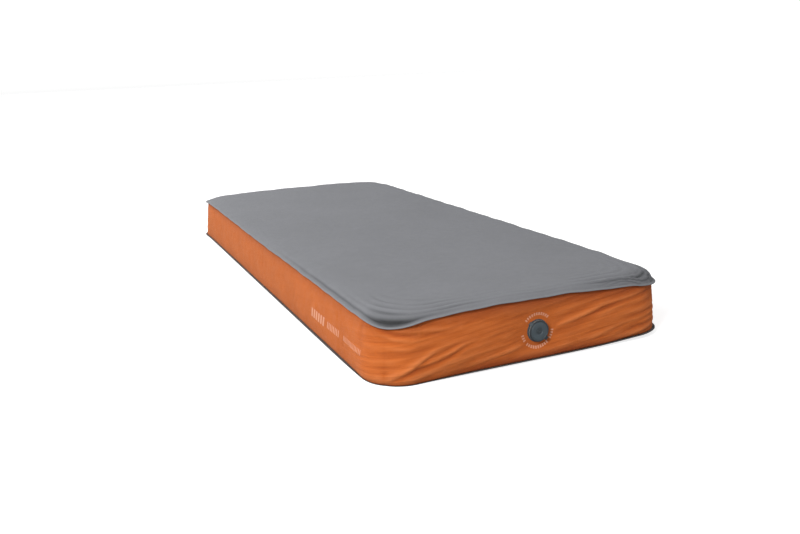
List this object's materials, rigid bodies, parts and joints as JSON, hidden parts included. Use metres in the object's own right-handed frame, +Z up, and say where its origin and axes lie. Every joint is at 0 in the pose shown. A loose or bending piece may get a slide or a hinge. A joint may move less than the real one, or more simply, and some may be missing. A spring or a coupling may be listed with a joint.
{
  "type": "inflatable sleeping pad",
  "caption": "Thick rectangular self-inflating sleeping pad with a grey stretch top, orange side wall, dark base and a flip-cap air valve in the foot end.",
  "frame": {"origin": "centre of the pad's footprint, on the surface that it lies on", "axes": "+X across the pad, +Y along it from the valve end to the head end, +Z up"},
  "size_m": [0.79, 2, 0.156],
  "materials": {
    "top_fabric": "matte",
    "base_fabric": "matte",
    "wall_fabric": "matte",
    "foam": "matte",
    "soft_plastic": "satin",
    "silicone": "matte",
    "valve_plastic": "satin",
    "spring_steel": "satin"
  },
  "bodies": {
    "pad": {"top_sheet": "top_fabric", "base_sheet": "base_fabric", "side_wall": "wall_fabric", "wall_join_tape": "wall_fabric", "foam_core": "foam", "valve_base": "soft_plastic", "strap_ring": "soft_plastic", "body_gasket": "silicone", "valve_body": "valve_plastic", "valve_guard": "valve_plastic"},
    "insert": {"valve_insert": "valve_plastic", "insert_seal": "silicone", "flap_spring": "spring_steel"},
    "stem": {"flap_stem": "valve_plastic", "check_flap": "silicone", "flap_retainer": "valve_plastic"},
    "cap": {"cap": "soft_plastic", "cap_seal": "silicone", "cap_strap": "soft_plastic"}
  },
  "joints": [
    {"name": "cap_hinge", "type": "hinge", "parent": "pad", "child": "cap", "pos_m": [-0.00986, -0.995, 0.09186], "axis": [-0.7071, 0, -0.7071], "range_deg": [0, 150]},
    {"name": "insert_turn", "type": "hinge", "parent": "pad", "child": "insert", "pos_m": [0.011, -0.99, 0.071], "axis": [0, -1, 0], "range_deg": [0, 60]},
    {"name": "stem_push", "type": "slide", "parent": "insert", "child": "stem", "axis": [0, 1, 0], "range_m": [0, 0.003], "stiffness_N_per_m": 300, "springref_m": -0.002, "deforming": ["flap_spring"]}
  ]
}
